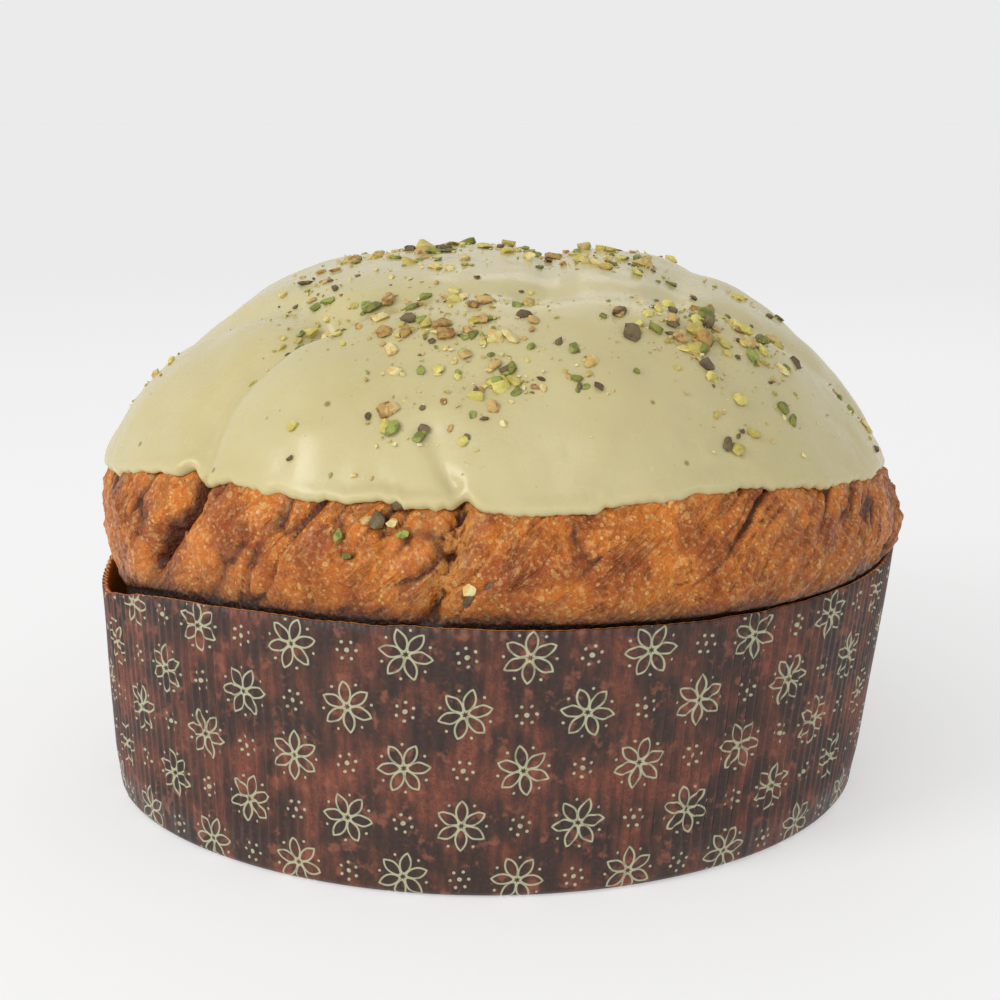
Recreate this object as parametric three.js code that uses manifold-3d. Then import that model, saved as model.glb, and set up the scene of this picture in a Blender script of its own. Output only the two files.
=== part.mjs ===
// A low, domed panettone in its paper mould, with poured icing and chopped nuts on top.
// Millimetres, +Z up, origin under the middle. Azimuth 0 is +X, and 270 degrees is the front.

import * as THREE from "three";
import { mergeVertices } from "three/addons/utils/BufferGeometryUtils.js";
import Module from "manifold-3d";

// Paper mould
const MOULD_HEIGHT = 67;
const RIM_RADIUS = 109;
const BASE_RADIUS = 103;
const BASE_SHIFT = -3;
const PAPER = 1;
const FOLD = 2.5;
const SEAM_AZIMUTH = 200;
const SEAM_BULGE = 2.2;
const SEAM_WIDTH = 28;
const RIM_DIP = 10;
const RIM_DIP_AZIMUTH = 192;
const RIM_DIP_WIDTH = 22;
const RIM_WAVE = 0.6;
const FLOOR_RING_INSET = 42;

// Loaf: a crown that rises from its waist as a superellipse
const TOP_HEIGHT = 142;
const WAIST_RADIUS = 109.3;
const WAIST_HEIGHT = 79;
const CROWN_POWER = 1.23;
const SIDE_POWER = 3;
const LEAN_AZIMUTH = 192;
const LEAN_GAP = 6;
const LEAN_WIDTH = 26;
const OVERHANG = 8;
const RIM_CLEARANCE = 0.6;
const OVERHANG_STEPS = [3.8, 1.4, 0];

// Icing: poured over the crown down to a wavy edge
const ICING = 1.8;
const ICING_EDGE = 88.2;
const EDGE_DIP = 6;
const LIP = 0.9;

// Clear space between pieces that touch
const GAP = 0.4;

// Mesh: points in a ring, rings up the icing and under it, and where rings get fewer points
const RING = 120;
const ICING_RINGS = 15;
const HIDDEN_RINGS = 7;
const CRUST_RINGS = 5;
const HALF_RADIUS = 50;
const QUARTER_RADIUS = 22;
const ROW_EVENNESS = 1.5;
const HIDDEN_WIDER = 4;
const HIDDEN_DEEPER = 0.8;

// Creases where the risen dough split or folded: way along (azimuth, height), half width, depth
const CREASES = [
  { way: [[230, 130.1], [225, 121.3], [223, 109.4], [225, 95.5], [223, 85.6], [217, 72]], half: 5, depth: 4.4 },
  { way: [[260, 108.4], [263, 100.4], [265, 94.7], [264, 83.8], [262, 69.7]], half: 2.8, depth: 3 },
  {
    way: [[230, 130.1], [240, 133.3], [250, 136.1], [264, 137.1], [280, 136.9], [298, 135.7],
      [315, 133], [330, 126.9], [341, 116.7], [349, 104.4], [352, 93.5]],
    half: 6,
    depth: 3,
  },
  { way: [[280, 136.9], [290, 139.6], [430, 140.1], [444, 131.9], [448, 116.5], [452, 95.4]], half: 6, depth: 3.2 },
  { way: [[230, 130.1], [213, 132], [196, 127.1], [182, 116.6], [175, 101.2], [172, 85.9]], half: 6, depth: 3.2 },
  { way: [[315, 133], [350, 136.7], [380, 131.9], [398, 116.5], [404, 97.2]], half: 6.5, depth: 2.2 },
];

// Lobes that swell between the creases: middle (azimuth, height), spread, rise
const LOBES = [
  { middle: [243, 110.6], spread: 24, rise: 2.8 },
  { middle: [290, 110.6], spread: 28, rise: 1.8 },
  { middle: [205, 110.6], spread: 20, rise: 1.2 },
  { middle: [330, 124.2], spread: 18, rise: 1.2 },
  { middle: [170, 138.6], spread: 22, rise: 0.6 },
  { middle: [10, 138.6], spread: 22, rise: 1.2 },
  { middle: [60, 116.5], spread: 26, rise: 2 },
  { middle: [130, 116.5], spread: 26, rise: 2 },
];

// Nuts on the icing: middle (x, y), spread, how many, mean length
const NUT_SPOTS = [
  { at: [-89, -24], spread: 2, count: 2, size: 4.4 },
  { at: [-45, -62], spread: 16, count: 6, size: 2.6 },
  { at: [-51, -29], spread: 7, count: 8, size: 3.6 },
  { at: [-27, -2], spread: 11, count: 18, size: 5.2 },
  { at: [-45, -51], spread: 5, count: 8, size: 4.2 },
  { at: [-32, -56], spread: 5, count: 8, size: 5 },
  { at: [-14, -54], spread: 7, count: 12, size: 4.8 },
  { at: [1, -63], spread: 8, count: 14, size: 4.4 },
  { at: [-19, -69], spread: 6, count: 12, size: 4.2 },
  { at: [-5, -72], spread: 6, count: 10, size: 4 },
  { at: [-25, -87.4], spread: 1.8, count: 5, size: 5.4 },
  { at: [-19, -91], spread: 1, count: 2, size: 5.6 },
  { at: [-4, -86], spread: 6, count: 12, size: 4 },
  { at: [11, -79], spread: 7, count: 10, size: 3.8 },
  { at: [28, -61], spread: 3, count: 3, size: 5.8 },
  { at: [20, -80], spread: 3, count: 3, size: 4 },
  { at: [45, -59], spread: 6, count: 26, size: 5.2 },
  { at: [51, -42], spread: 7, count: 12, size: 5 },
  { at: [61, -50], spread: 5, count: 10, size: 4.6 },
  { at: [52, -73], spread: 5, count: 6, size: 4.6 },
  { at: [70, -40], spread: 5, count: 4, size: 5 },
  { at: [67, -61], spread: 2, count: 2, size: 5.4 },
  { at: [91, -25], spread: 3, count: 4, size: 4.8 },
  { at: [55, -80], spread: 1, count: 1, size: 4 },
  { at: [34, -18], spread: 8, count: 14, size: 5 },
  { at: [3, -12], spread: 14, count: 14, size: 4.8 },
  { at: [63, -6], spread: 6, count: 4, size: 4 },
  { at: [-2, 14], spread: 16, count: 22, size: 4.8 },
  { at: [-38, 26], spread: 14, count: 16, size: 4.6 },
  { at: [36, 24], spread: 15, count: 18, size: 4.8 },
  { at: [2, 56], spread: 14, count: 18, size: 4.4 },
  { at: [-52, 60], spread: 9, count: 7, size: 4.2 },
  { at: [54, 58], spread: 10, count: 8, size: 4.4 },
];

// Nuts that ran over the edge onto the crust: middle (azimuth, height), spread, how many, mean length
const CRUST_SPOTS = [
  { at: [257, 90], spread: 2.2, count: 5, size: 5.6 },
  { at: [270, 77], spread: 2.5, count: 3, size: 5.8 },
  { at: [253, 84], spread: 2, count: 2, size: 4.4 },
];

// How many of the nuts are solid, and how they are drawn
const NUT_SEED = 20;
const NUT_COUNT = 112;
const NUT_SPACING = 4.6;
const CRUST_SEED = 7;
const CRUST_SINK = 0.5;
const FRINGE = 4;

const TURN = 360;
const radians = THREE.MathUtils.degToRad;
const cosine = (degrees) => Math.cos(radians(degrees));
const sine = (degrees) => Math.sin(radians(degrees));

// A smooth bump round the loaf: 1 at its middle azimuth, falling to 0.37 a width away.
function hump(azimuth, middle, width) {
  const away = ((((azimuth - middle + TURN / 2) % TURN) + TURN) % TURN) - TURN / 2;
  return Math.exp(-((away / width) ** 2));
}

function polar(azimuth, radius, height) {
  return new THREE.Vector3(radius * cosine(azimuth), radius * sine(azimuth), height);
}

// Mould outline

function mouldPoint(azimuth, height, inset) {
  const rise = Math.min(height / MOULD_HEIGHT, 1);
  const wall = BASE_RADIUS + (RIM_RADIUS - BASE_RADIUS) * rise;
  const bulge = SEAM_BULGE * hump(azimuth, SEAM_AZIMUTH, SEAM_WIDTH);
  const point = polar(azimuth, wall + bulge - inset, height);
  point.x += BASE_SHIFT * (1 - rise);
  return point;
}

function rimHeight(azimuth) {
  const dip = RIM_DIP * hump(azimuth, RIM_DIP_AZIMUTH, RIM_DIP_WIDTH);
  return MOULD_HEIGHT - dip + RIM_WAVE * sine(3 * azimuth + 40);
}

// Loaf outline

function icingEdge(azimuth) {
  const ripple = 1.1 * sine(5 * azimuth + 20) - 0.6 * cosine(9 * azimuth);
  return ICING_EDGE + EDGE_DIP * cosine(azimuth - 262) + ripple;
}

function waistRadius(azimuth) {
  const overRim = 2 * hump(azimuth, 298, 18);
  return WAIST_RADIUS + 0.9 * cosine(azimuth) + overRim + 0.5 * sine(4 * azimuth);
}

function waistHeight(azimuth) {
  return Math.min(WAIST_HEIGHT - 4.5 * cosine(azimuth), icingEdge(azimuth) - 1);
}

function crownRadius(azimuth, height) {
  const low = waistHeight(azimuth);
  const rise = THREE.MathUtils.clamp((height - low) / (TOP_HEIGHT - low), 0, 1);
  return waistRadius(azimuth) * (1 - rise ** CROWN_POWER) ** (1 / SIDE_POWER);
}

function crownHeight(azimuth, radius) {
  const low = waistHeight(azimuth);
  const reach = Math.min(radius / waistRadius(azimuth), 1);
  return low + (TOP_HEIGHT - low) * (1 - reach ** SIDE_POWER) ** (1 / CROWN_POWER);
}

function crownPoint(azimuth, height) {
  return polar(azimuth, crownRadius(azimuth, height), height);
}

// The crown's height at a share of the way from the icing's edge to the top, in even steps.
function rowHeight(azimuth, share) {
  const low = waistHeight(azimuth);
  const edge = ((icingEdge(azimuth) - low) / (TOP_HEIGHT - low)) ** (CROWN_POWER / 2);
  const toTop = Math.PI / 2 - Math.asin(edge);
  const angle = Math.PI / 2 - toTop * (1 - share) ** ROW_EVENNESS;
  return low + (TOP_HEIGHT - low) * Math.sin(angle) ** (2 / CROWN_POWER);
}

function outward(azimuth, height) {
  const step = 0.05;
  const below = crownRadius(azimuth, height - step);
  const above = crownRadius(azimuth, Math.min(height + step, TOP_HEIGHT));
  return polar(azimuth, 1, (below - above) / (2 * step)).normalize();
}

// Relief of creases and lobes

const creases = CREASES.map(({ way, half, depth }) => {
  const points = way.map(([azimuth, height]) => crownPoint(azimuth, height));
  const line = new THREE.CatmullRomCurve3(points).getPoints(points.length * 6);
  return { line, half, depth };
});
const lobes = LOBES.map(({ middle, spread, rise }) => ({ middle: crownPoint(...middle), spread, rise }));

function awayFrom(line, point) {
  const nearest = new THREE.Vector3();
  const piece = new THREE.Line3();
  let least = Infinity;
  for (let i = 1; i < line.length; i++) {
    piece.set(line[i - 1], line[i]).closestPointToPoint(point, true, nearest);
    least = Math.min(least, nearest.distanceTo(point));
  }
  return least;
}

function relief(point, wider, deeper) {
  let height = 0;
  for (const { line, half, depth } of creases) {
    height -= (depth + deeper) * Math.exp(-((awayFrom(line, point) / (half + wider)) ** 2));
  }
  for (const { middle, spread, rise } of lobes) {
    height += rise * Math.exp(-((point.distanceTo(middle) / spread) ** 2));
  }
  return height;
}

// A point of the crown with its relief, lifted off the loaf by lift.
// Under the icing the creases are taken wider and deeper, so the coarse mesh there stays below it.
function loafPoint(azimuth, height, lift, hidden = false) {
  const point = crownPoint(azimuth, height);
  const swell = hidden ? relief(point, HIDDEN_WIDER, HIDDEN_DEEPER) : relief(point, 0, 0);
  return point.addScaledVector(outward(azimuth, height), swell + lift);
}

// Shallow folds of the browned crust below the icing.
function crustFold(azimuth, height) {
  return 0.6 * sine(11 * azimuth + 4 * height) + 0.4 * sine(17 * azimuth - 6 * height + 60);
}

// Closed surfaces from rings

function ring(count, place) {
  return Array.from({ length: count }, (_, i) => place((TURN * i) / count));
}

function pole(point) {
  return [point];
}

function ringCount(radius) {
  if (radius > HALF_RADIUS) return RING;
  return radius > QUARTER_RADIUS ? RING / 2 : RING / 4;
}

// Joins each ring to the next, where a ring can have a whole number of times its neighbour's points.
// Each four-sided patch is split from its higher ring, so two surfaces that face each other fold alike.
function closedGeometry(rings) {
  const positions = rings.flat().flatMap((point) => point.toArray());
  const faces = [];
  let start = 0;
  for (let k = 1; k < rings.length; k++) {
    const upper = rings[k - 1].length;
    const lower = rings[k].length;
    const most = Math.max(upper, lower);
    const next = start + upper;
    const rising = rings[k][0].z > rings[k - 1][0].z;
    for (let i = 0; i < most; i++) {
      const a = start + Math.floor((i * upper) / most);
      const b = start + (Math.floor(((i + 1) * upper) / most) % upper);
      const c = next + Math.floor((i * lower) / most);
      const d = next + (Math.floor(((i + 1) * lower) / most) % lower);
      if (a !== b) faces.push(a, rising ? c : d, b);
      if (c !== d) faces.push(rising ? b : a, c, d);
    }
    start = next;
  }
  const geometry = new THREE.BufferGeometry();
  geometry.setAttribute("position", new THREE.Float32BufferAttribute(positions, 3));
  geometry.setIndex(faces);
  return geometry;
}

// Paper mould: from the middle of the floor inside, over the rim, to the middle of the base

function paperGeometry() {
  return closedGeometry([
    pole(new THREE.Vector3(BASE_SHIFT, 0, PAPER)),
    ring(RING / 2, (azimuth) => mouldPoint(azimuth, PAPER, FLOOR_RING_INSET)),
    ring(RING, (azimuth) => mouldPoint(azimuth, PAPER, PAPER + FOLD)),
    ring(RING, (azimuth) => mouldPoint(azimuth, PAPER + FOLD, PAPER)),
    ring(RING, (azimuth) => mouldPoint(azimuth, rimHeight(azimuth), PAPER)),
    ring(RING, (azimuth) => mouldPoint(azimuth, rimHeight(azimuth), 0)),
    ring(RING, (azimuth) => mouldPoint(azimuth, FOLD, 0)),
    ring(RING, (azimuth) => mouldPoint(azimuth, 0, FOLD)),
    ring(RING / 2, (azimuth) => mouldPoint(azimuth, 0, FLOOR_RING_INSET)),
    pole(new THREE.Vector3(BASE_SHIFT, 0, 0)),
  ]);
}

// Loaf: the crown under the icing, the crust that shows, and the body inside the mould

// Rings over the crown, from the top down to the icing's edge.
function crownRings(rings, finest, place) {
  const rows = [pole(place(0, TOP_HEIGHT))];
  for (let k = rings - 1; k > 0; k--) {
    const radius = crownRadius(270, rowHeight(270, k / rings));
    const count = Math.min(ringCount(radius), finest);
    rows.push(ring(count, (azimuth) => place(azimuth, rowHeight(azimuth, k / rings))));
  }
  rows.push(ring(RING, (azimuth) => place(azimuth, icingEdge(azimuth))));
  return rows;
}

function crustRing(share) {
  return ring(RING, (azimuth) => {
    const high = icingEdge(azimuth) - ICING;
    const low = rimHeight(azimuth) + OVERHANG;
    const height = high + (low - high) * share;
    return loafPoint(azimuth, height, Math.min(2 * share, 1) * crustFold(azimuth, height));
  });
}

// Inside the mould the loaf leans away from the paper at the left, most of all at the rim.
function neckPoint(azimuth, height) {
  const lean = LEAN_GAP * hump(azimuth, LEAN_AZIMUTH, LEAN_WIDTH) * (height / MOULD_HEIGHT);
  return mouldPoint(azimuth, height, PAPER + GAP + lean);
}

// Where the crust bulges out over the rim, round like the edge of a cushion.
function overhangRing(above) {
  return ring(RING, (azimuth) => {
    const rim = rimHeight(azimuth);
    const height = rim + RIM_CLEARANCE + above;
    const share = above / (OVERHANG - RIM_CLEARANCE);
    const bulge = Math.sqrt(1 - (1 - share) ** 2);
    const full = loafPoint(azimuth, height, crustFold(azimuth, height) * share * 0.7);
    return neckPoint(azimuth, height).lerp(full, bulge);
  });
}

function breadGeometry() {
  const rows = crownRings(HIDDEN_RINGS, RING / 2, (azimuth, height) =>
    loafPoint(azimuth, height, -GAP, true),
  );
  for (let k = 0; k < CRUST_RINGS; k++) rows.push(crustRing(k / (CRUST_RINGS - 1)));
  for (const above of OVERHANG_STEPS) rows.push(overhangRing(above));
  rows.push(ring(RING, (azimuth) => neckPoint(azimuth, rimHeight(azimuth) - 1.5)));
  rows.push(ring(RING, (azimuth) => neckPoint(azimuth, PAPER + FOLD + GAP)));
  rows.push(ring(RING, (azimuth) => mouldPoint(azimuth, PAPER + GAP, PAPER + FOLD + GAP)));
  rows.push(ring(RING / 2, (azimuth) => mouldPoint(azimuth, PAPER + GAP, FLOOR_RING_INSET)));
  rows.push(pole(new THREE.Vector3(BASE_SHIFT, 0, PAPER + GAP)));
  return closedGeometry(rows);
}

// Icing: its face, a round lip at the edge, and its underside against the loaf

function icingGeometry() {
  const face = crownRings(ICING_RINGS, RING, (azimuth, height) => loafPoint(azimuth, height, ICING));
  const lip = ring(RING, (azimuth) => loafPoint(azimuth, icingEdge(azimuth) - LIP, ICING / 2));
  const under = crownRings(HIDDEN_RINGS, RING / 2, (azimuth, height) =>
    loafPoint(azimuth, height, 0, true),
  );
  return closedGeometry([...face, lip, ...under.reverse()]);
}

// Chopped nuts

// Random numbers from 0 to 1, the same ones in every run.
function randomFrom(seed) {
  let state = seed;
  return () => {
    state = (Math.imul(state, 1664525) + 1013904223) >>> 0;
    return state / 2 ** 32;
  };
}

function scatter(spots, seed) {
  const random = randomFrom(seed);
  const nuts = [];
  for (const { at, spread, count, size } of spots) {
    for (let i = 0; i < count; i++) {
      const turn = TURN * random();
      const away = spread * Math.sqrt(-2 * Math.log(1 - 0.9 * random()));
      nuts.push({
        at: [at[0] + away * cosine(turn), at[1] + away * sine(turn)],
        size: size * (0.6 + 0.8 * random() ** 1.5),
        yaw: TURN * random(),
        slim: 0.55 + 0.35 * random(),
        flat: 0.35 + 0.25 * random(),
      });
    }
  }
  return nuts;
}

// The largest nuts that lie clear of one another.
function largest(nuts, count) {
  const kept = [];
  for (const nut of nuts.toSorted((a, b) => b.size - a.size)) {
    const clear = kept.every(({ at }) => Math.hypot(at[0] - nut.at[0], at[1] - nut.at[1]) > NUT_SPACING);
    if (clear && kept.length < count) kept.push(nut);
  }
  return kept;
}

// An angular chip: a box with uneven corners, lying flat and half sunk in what carries it.
function chipGeometry({ size, yaw, slim, flat }, foot, normal, random) {
  const chip = new THREE.BoxGeometry(1, 1, 1);
  chip.deleteAttribute("normal");
  chip.deleteAttribute("uv");
  const merged = mergeVertices(chip);
  const corner = merged.getAttribute("position");
  const thick = size * flat;
  for (let i = 0; i < corner.count; i++) {
    const pull = 0.7 + 0.35 * random();
    const pinch = 0.65 + 0.4 * random();
    corner.setXYZ(i, corner.getX(i) * pull, corner.getY(i) * pinch, corner.getZ(i) * pull);
  }
  merged.scale(size, size * slim, thick);
  merged.rotateZ(radians(yaw));
  const upright = new THREE.Quaternion().setFromUnitVectors(new THREE.Vector3(0, 0, 1), normal);
  merged.applyQuaternion(upright);
  const raised = foot.clone().addScaledVector(normal, thick * 0.16);
  return merged.translate(raised.x, raised.y, raised.z);
}

function iceNuts() {
  const random = randomFrom(NUT_SEED + 1);
  return largest(scatter(NUT_SPOTS, NUT_SEED), NUT_COUNT).flatMap((nut) => {
    const radius = Math.hypot(...nut.at);
    const azimuth = (Math.atan2(nut.at[1], nut.at[0]) * 180) / Math.PI + TURN;
    const height = crownHeight(azimuth, radius);
    if (height < icingEdge(azimuth) + FRINGE) return [];
    return [chipGeometry(nut, loafPoint(azimuth, height, ICING), outward(azimuth, height), random)];
  });
}

function crustNuts() {
  const random = randomFrom(CRUST_SEED + 1);
  return scatter(CRUST_SPOTS, CRUST_SEED).flatMap((nut) => {
    const [azimuth, height] = nut.at;
    if (height > icingEdge(azimuth) - FRINGE) return [];
    const foot = loafPoint(azimuth, height, crustFold(azimuth, height) - CRUST_SINK);
    return [chipGeometry(nut, foot, outward(azimuth, height), random)];
  });
}

const manifold = await Module();
manifold.setup();

function solid(geometry) {
  return new manifold.Manifold(
    new manifold.Mesh({
      numProp: 3,
      vertProperties: geometry.getAttribute("position").array,
      triVerts: new Uint32Array(geometry.index.array),
    }),
  );
}

function fused(base, chips) {
  const whole = chips.reduce((sum, chip) => sum.add(solid(chip)), solid(base));
  const { vertProperties, triVerts } = whole.getMesh();
  const geometry = new THREE.BufferGeometry();
  geometry.setAttribute("position", new THREE.Float32BufferAttribute(vertProperties, 3));
  geometry.setIndex(Array.from(triVerts));
  return geometry;
}

// Assembly

const group = new THREE.Group();

function place(name, geometry, color, roughness) {
  const material = new THREE.MeshStandardMaterial({ color, roughness, metalness: 0 });
  const mesh = new THREE.Mesh(geometry, material);
  mesh.name = name;
  group.add(mesh);
}

place("paper_case", paperGeometry(), 0x402419, 0.55);
place("bread", fused(breadGeometry(), crustNuts()), 0xa9652f, 0.6);
place("icing", fused(icingGeometry(), iceNuts()), 0xd5c890, 0.35);

export default group;
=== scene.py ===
# %% [markdown]
# A low panettone, dressed for its portrait
#
# The real object is a sweet loaf, risen and baked in a stiff paper mould. Its crown is
# covered with poured pistachio icing and a scatter of chopped nuts. The solids that
# arrive with the frame already have the loaf's lobes, its creases, the wavy rim and the
# largest nuts. Each of them is replaced here by a finer mesh of the same form, worked
# out from the same shape functions, so the two agree from every side.

# %% The frame
import math

import bmesh
import bpy
import numpy as np
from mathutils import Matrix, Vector


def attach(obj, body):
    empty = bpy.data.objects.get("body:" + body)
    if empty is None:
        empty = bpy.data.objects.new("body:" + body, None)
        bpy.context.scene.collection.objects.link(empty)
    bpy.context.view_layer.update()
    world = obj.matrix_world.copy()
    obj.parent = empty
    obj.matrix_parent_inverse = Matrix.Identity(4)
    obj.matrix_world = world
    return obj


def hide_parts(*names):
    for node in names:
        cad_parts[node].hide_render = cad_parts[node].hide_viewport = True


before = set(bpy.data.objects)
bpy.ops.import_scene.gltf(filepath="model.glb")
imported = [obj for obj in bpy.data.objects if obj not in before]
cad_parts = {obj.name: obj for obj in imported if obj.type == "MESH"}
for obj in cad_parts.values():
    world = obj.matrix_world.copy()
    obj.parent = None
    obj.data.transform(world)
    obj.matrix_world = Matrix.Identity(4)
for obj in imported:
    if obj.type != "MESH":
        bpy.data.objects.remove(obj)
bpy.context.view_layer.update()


def new_object(name, data):
    made = bpy.data.objects.new(name, data)
    bpy.context.scene.collection.objects.link(made)
    return made


# %% [markdown]
# The camera stands a little above the rim, half a metre from the middle, and looks down
# twelve degrees. These values were fitted to the curves of the rim and of the base in
# the photograph, so the loaf's own shape can be compared with it directly.

# %% Camera
CAMERA_DISTANCE = 0.499
CAMERA_HEIGHT = 0.181
CAMERA_PITCH = 12.1
CAMERA_LENS = 65.0

camera_data = bpy.data.cameras.new("camera")
camera_data.lens = CAMERA_LENS
camera = new_object("camera", camera_data)
camera.location = (0, -CAMERA_DISTANCE, CAMERA_HEIGHT)
camera.rotation_euler = (math.radians(90 - CAMERA_PITCH), 0, 0)
bpy.context.scene.camera = camera
print("camera", CAMERA_DISTANCE, "m away, lens", CAMERA_LENS, "mm")

# %% [markdown]
# The floor, the room and every finish are graphs of nodes. They could be wired by hand in
# the editor. Here one helper adds a node and wires or sets its inputs in one call, one
# does arithmetic, and one starts a material on a single Principled shader, which keeps
# the graphs short enough to read.

# %% Helpers for nodes


def node(tree, kind, inputs=None, **settings):
    """A new node with its settings, each input either wired or set."""
    made = tree.nodes.new(kind)
    for name, value in settings.items():
        setattr(made, name, value)
    for name, value in (inputs or {}).items():
        if isinstance(value, bpy.types.NodeSocket):
            tree.links.new(value, made.inputs[name])
        else:
            made.inputs[name].default_value = value
    return made


def math_node(tree, operation, first, second=0.0, third=0.0, clamp=False):
    inputs = {0: first, 1: second, 2: third}
    return node(tree, "ShaderNodeMath", inputs, operation=operation, use_clamp=clamp).outputs[0]


def new_material(name, plain=None):
    """A material, its node tree and its shader, with these plain values set on the shader."""
    material = bpy.data.materials.new(name)
    material.use_nodes = True
    shader = material.node_tree.nodes["Principled BSDF"]
    for socket, value in (plain or {}).items():
        shader.inputs[socket].default_value = value
    return material, material.node_tree, shader


node_kinds = [name for name in dir(bpy.types) if name.startswith("ShaderNode")]
print(len(node_kinds), "kinds of shader node at hand")

# %% [markdown]
# A pale floor and soft light suit food: the icing shows its gloss as broad, quiet
# highlights, and the crust its folds as shade. A wide, soft sun lights the loaf and the
# whole floor alike. One panel stands to the front left, weaker ones to the right and
# behind, and they draw the highlights. A white room shows as a bright surround in
# gloss and behind the floor, yet it should fill the shadows only a little, so the world
# is dimmer for the light that it sends onto matt surfaces. The floor glows a little, so
# that its far end meets the surround without a line. The plain view transform keeps
# every colour as it is given below, where a filmic one would fade them.

# %% Floor and light
FLOOR_SIZE = 60.0
FLOOR_FINISH = {
    "Base Color": (0.6, 0.6, 0.6, 1),
    "Roughness": 0.9,
    "Emission Color": (1, 1, 1, 1),
    "Emission Strength": 0.444,
    "Specular IOR Level": 0.1,
}
SURROUND = 0.83
SURROUND_ON_MATT = 0.45
PANELS = {
    "key panel": {"at": (-0.75, -0.6, 0.6), "size": 0.45, "power": 3.1},
    "side panel": {"at": (0.85, -0.35, 0.6), "size": 0.4, "power": 0.5},
    "back panel": {"at": (0.15, 0.9, 0.9), "size": 0.5, "power": 0.7},
}
SUN_STRENGTH = 0.88
SUN_ANGLE = 70
SUN_TILT = (48, -34, 0)
AIM_HEIGHT = 0.08
bpy.context.scene.view_settings.view_transform = "Standard"

floor_mesh = bpy.data.meshes.new("floor")
half = FLOOR_SIZE / 2
floor_corners = [(-half, -half, 0), (half, -half, 0), (half, half, 0), (-half, half, 0)]
floor_mesh.from_pydata(floor_corners, [], [(0, 1, 2, 3)])
floor = new_object("floor", floor_mesh)
floor_mesh.materials.append(new_material("pale floor", FLOOR_FINISH)[0])

world = bpy.data.worlds.new("studio")
world.use_nodes = True
room = world.node_tree
on_matt = node(room, "ShaderNodeLightPath").outputs["Is Diffuse Ray"]
strength = math_node(room, "MULTIPLY_ADD", on_matt, SURROUND_ON_MATT - SURROUND, SURROUND)
room.links.new(strength, room.nodes["Background"].inputs["Strength"])
room.nodes["Background"].inputs["Color"].default_value = (1, 1, 1, 1)
bpy.context.scene.world = world

for name, panel in PANELS.items():
    light = bpy.data.lights.new(name, "AREA")
    light.size = panel["size"]
    light.energy = panel["power"]
    lamp = new_object(name, light)
    lamp.location = panel["at"]
    aim = Vector((0, 0, AIM_HEIGHT)) - Vector(panel["at"])
    lamp.rotation_euler = aim.to_track_quat("-Z", "Y").to_euler()
sun_light = bpy.data.lights.new("soft sun", "SUN")
sun_light.energy = SUN_STRENGTH
sun_light.angle = math.radians(SUN_ANGLE)
sun = new_object("soft sun", sun_light)
sun.rotation_euler = [math.radians(turn) for turn in SUN_TILT]
print(len(PANELS), "light panels and a soft sun")

# %% [markdown]
# The outline of the loaf and its mould is a handful of formulas in millimetres, round
# the upright axis. Azimuth 0 points right, and 270 degrees points at the camera. They
# could be traced from the solids instead, but formulas can be sampled as finely as each
# piece needs. The mould is a cone, the crown is a superellipse, and slow waves make the
# rim, the waist and the icing's edge as uneven as handwork leaves them.

# %% Outline of mould and loaf
MOULD_HEIGHT = 67.0
LOW_RIM = 192.0
RIM_RADIUS = 109.0
BASE_RADIUS = 103.0
BASE_SHIFT = -3.0
PAPER = 1.0
FOLD = 2.5
TOP_HEIGHT = 142.0
WAIST_RADIUS = 109.3
WAIST_HEIGHT = 79.0
CROWN_POWER = 1.23
SIDE_POWER = 3.0
OVERHANG = 8.0
LEAN_RISE = 16.0
RIM_CLEARANCE = 0.6
ICING = 1.8
ICING_EDGE = 88.2
GAP = 0.4
ROW_EVENNESS = 1.5


def cosine(degrees):
    return np.cos(np.radians(degrees))


def sine(degrees):
    return np.sin(np.radians(degrees))


def hump(azimuth, middle, width):
    """A smooth bump round the loaf: 1 at its middle azimuth, 0.37 a width away."""
    away = (azimuth - middle + 540.0) % 360.0 - 180.0
    return np.exp(-((away / width) ** 2))


def polar(azimuth, radius, height):
    return np.stack(np.broadcast_arrays(radius * cosine(azimuth), radius * sine(azimuth), height), -1)


def rim_height(azimuth):
    return MOULD_HEIGHT - 10 * hump(azimuth, LOW_RIM, 22) + 0.6 * sine(3 * azimuth + 40)


def mould_point(azimuth, height, inset):
    rise = np.minimum(height / MOULD_HEIGHT, 1)
    wall = BASE_RADIUS + (RIM_RADIUS - BASE_RADIUS) * rise
    point = polar(azimuth, wall + 2.2 * hump(azimuth, 200, 28) - inset, height)
    point[..., 0] += BASE_SHIFT * (1 - rise)
    return point


def icing_edge(azimuth):
    return ICING_EDGE + 6 * cosine(azimuth - 262) + 1.1 * sine(5 * azimuth + 20) - 0.6 * cosine(9 * azimuth)


def waist_radius(azimuth):
    return WAIST_RADIUS + 0.9 * cosine(azimuth) + 2 * hump(azimuth, 298, 18) + 0.5 * sine(4 * azimuth)


def waist_height(azimuth):
    return np.minimum(WAIST_HEIGHT - 4.5 * cosine(azimuth), icing_edge(azimuth) - 1)


def crown_radius(azimuth, height):
    low = waist_height(azimuth)
    rise = np.clip((height - low) / (TOP_HEIGHT - low), 0, 1)
    return waist_radius(azimuth) * (1 - rise**CROWN_POWER) ** (1 / SIDE_POWER)


def crown_height(azimuth, radius):
    low = waist_height(azimuth)
    reach = np.minimum(radius / waist_radius(azimuth), 1)
    return low + (TOP_HEIGHT - low) * (1 - reach**SIDE_POWER) ** (1 / CROWN_POWER)


def crown_point(azimuth, height):
    return polar(azimuth, crown_radius(azimuth, height), height)


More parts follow.
